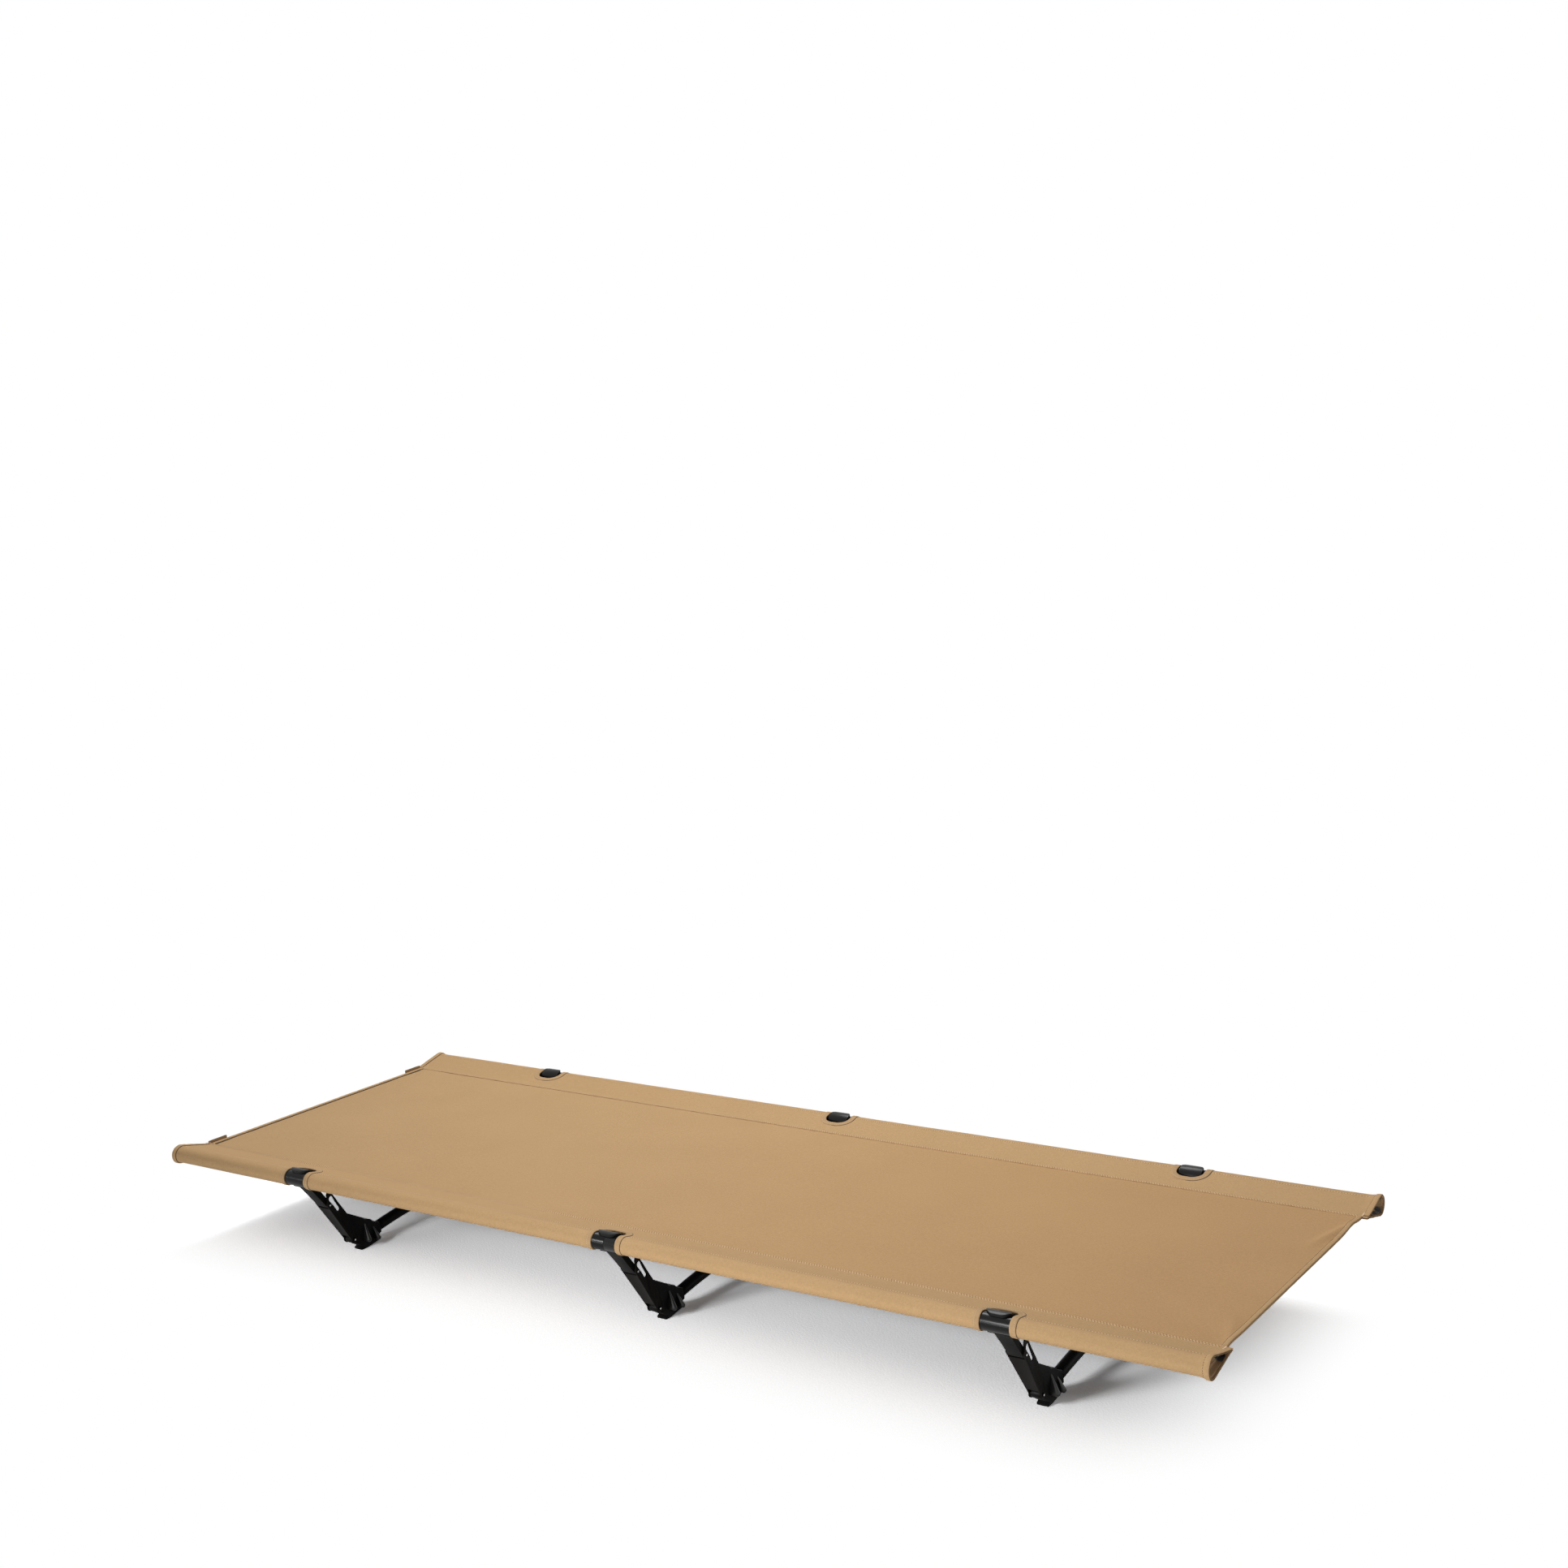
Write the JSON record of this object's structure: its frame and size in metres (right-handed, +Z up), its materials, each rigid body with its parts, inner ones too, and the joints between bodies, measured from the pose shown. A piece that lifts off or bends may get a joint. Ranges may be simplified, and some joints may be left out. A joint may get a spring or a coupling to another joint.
{
  "type": "camping cot",
  "caption": "Low folding camping cot: a taut cloth bed on two side rails, carried by three bow legs with hooked tension levers.",
  "frame": {"origin": "on the floor, under the middle of the bed", "axes": "X along the bed, Y across it with the pictured long side at -Y, Z up"},
  "size_m": [1.9, 0.6832, 0.1792],
  "materials": {
    "cot_cloth": "woven polyester, matt",
    "lining_grey": "dark grey lining cloth",
    "tab_tape": "folded binding tape",
    "rail_black": "black anodised tube, satin",
    "ferrule_grey": "bare aluminium",
    "bow_black": "black anodised tube, satin",
    "bow_ferrule_grey": "bare aluminium",
    "hub_black": "moulded nylon, satin",
    "lever_black": "moulded nylon, satin",
    "hook_black": "moulded nylon, glossy",
    "pin_steel": "bright steel"
  },
  "bodies": {
    "frame": {"bed_panel": "cot_cloth", "end_hem_left": "cot_cloth", "end_hem_right": "cot_cloth", "sleeve_near": "cot_cloth", "pull_tab_near": "tab_tape", "sleeve_cap_near_left": "lining_grey", "sleeve_cap_near_right": "lining_grey", "rail_near_1": "rail_black", "rail_near_2": "rail_black", "rail_near_3": "rail_black", "rail_near_4": "rail_black", "rail_ferrule_near_1": "ferrule_grey", "rail_ferrule_near_2": "ferrule_grey", "rail_ferrule_near_3": "ferrule_grey", "sleeve_far": "cot_cloth", "pull_tab_far": "tab_tape", "sleeve_cap_far_left": "lining_grey", "sleeve_cap_far_right": "lining_grey", "rail_far_1": "rail_black", "rail_far_2": "rail_black", "rail_far_3": "rail_black", "rail_far_4": "rail_black", "rail_ferrule_far_1": "ferrule_grey", "rail_ferrule_far_2": "ferrule_grey", "rail_ferrule_far_3": "ferrule_grey", "bow_ferrule_left": "bow_ferrule_grey", "bow_ferrule_middle": "bow_ferrule_grey", "bow_ferrule_right": "bow_ferrule_grey", "bow_near_left": "bow_black", "foot_hub_near_left": "hub_black", "lower_pin_near_left": "pin_steel", "bow_near_middle": "bow_black", "foot_hub_near_middle": "hub_black", "lower_pin_near_middle": "pin_steel", "bow_near_right": "bow_black", "foot_hub_near_right": "hub_black", "lower_pin_near_right": "pin_steel", "bow_far_left": "bow_black", "foot_hub_far_left": "hub_black", "lower_pin_far_left": "pin_steel", "bow_far_middle": "bow_black", "foot_hub_far_middle": "hub_black", "lower_pin_far_middle": "pin_steel", "bow_far_right": "bow_black", "foot_hub_far_right": "hub_black", "lower_pin_far_right": "pin_steel"},
    "lever_near_left": {"tension_lever_near_left": "lever_black"},
    "hook_near_left": {"rail_hook_near_left": "hook_black"},
    "lever_near_middle": {"tension_lever_near_middle": "lever_black"},
    "hook_near_middle": {"rail_hook_near_middle": "hook_black"},
    "lever_near_right": {"tension_lever_near_right": "lever_black"},
    "hook_near_right": {"rail_hook_near_right": "hook_black"},
    "lever_far_left": {"tension_lever_far_left": "lever_black"},
    "hook_far_left": {"rail_hook_far_left": "hook_black"},
    "lever_far_middle": {"tension_lever_far_middle": "lever_black"},
    "hook_far_middle": {"rail_hook_far_middle": "hook_black"},
    "lever_far_right": {"tension_lever_far_right": "lever_black"},
    "hook_far_right": {"rail_hook_far_right": "hook_black"}
  },
  "joints": [
    {"name": "lever_near_left_swing", "type": "hinge", "parent": "frame", "child": "lever_near_left", "pos_m": [-0.652, -0.2243, 0.0244], "axis": [1, 0, 0], "range_deg": [0, 40]},
    {"name": "hook_near_left_swing", "type": "hinge", "parent": "frame", "child": "hook_near_left", "pos_m": [-0.652, -0.328, 0.1624], "axis": [1, 0, 0], "range_deg": [-50, 0]},
    {"name": "lever_near_middle_swing", "type": "hinge", "parent": "frame", "child": "lever_near_middle", "pos_m": [0, -0.2243, 0.0244], "axis": [1, 0, 0], "range_deg": [0, 40]},
    {"name": "hook_near_middle_swing", "type": "hinge", "parent": "frame", "child": "hook_near_middle", "pos_m": [0, -0.328, 0.1624], "axis": [1, 0, 0], "range_deg": [-50, 0]},
    {"name": "lever_near_right_swing", "type": "hinge", "parent": "frame", "child": "lever_near_right", "pos_m": [0.652, -0.2243, 0.0244], "axis": [1, 0, 0], "range_deg": [0, 40]},
    {"name": "hook_near_right_swing", "type": "hinge", "parent": "frame", "child": "hook_near_right", "pos_m": [0.652, -0.328, 0.1624], "axis": [1, 0, 0], "range_deg": [-50, 0]},
    {"name": "lever_far_left_swing", "type": "hinge", "parent": "frame", "child": "lever_far_left", "pos_m": [-0.652, 0.2243, 0.0244], "axis": [-1, 0, 0], "range_deg": [0, 40]},
    {"name": "hook_far_left_swing", "type": "hinge", "parent": "frame", "child": "hook_far_left", "pos_m": [-0.652, 0.328, 0.1624], "axis": [-1, 0, 0], "range_deg": [-50, 0]},
    {"name": "lever_far_middle_swing", "type": "hinge", "parent": "frame", "child": "lever_far_middle", "pos_m": [0, 0.2243, 0.0244], "axis": [-1, 0, 0], "range_deg": [0, 40]},
    {"name": "hook_far_middle_swing", "type": "hinge", "parent": "frame", "child": "hook_far_middle", "pos_m": [0, 0.328, 0.1624], "axis": [-1, 0, 0], "range_deg": [-50, 0]},
    {"name": "lever_far_right_swing", "type": "hinge", "parent": "frame", "child": "lever_far_right", "pos_m": [0.652, 0.2243, 0.0244], "axis": [-1, 0, 0], "range_deg": [0, 40]},
    {"name": "hook_far_right_swing", "type": "hinge", "parent": "frame", "child": "hook_far_right", "pos_m": [0.652, 0.328, 0.1624], "axis": [-1, 0, 0], "range_deg": [-50, 0]}
  ],
  "couplings": [
    {"joint": "hook_near_left_swing", "follows": "lever_near_left_swing", "ratio": -1.23},
    {"joint": "hook_near_middle_swing", "follows": "lever_near_middle_swing", "ratio": -1.23},
    {"joint": "hook_near_right_swing", "follows": "lever_near_right_swing", "ratio": -1.23},
    {"joint": "hook_far_left_swing", "follows": "lever_far_left_swing", "ratio": -1.23},
    {"joint": "hook_far_middle_swing", "follows": "lever_far_middle_swing", "ratio": -1.23},
    {"joint": "hook_far_right_swing", "follows": "lever_far_right_swing", "ratio": -1.23}
  ]
}
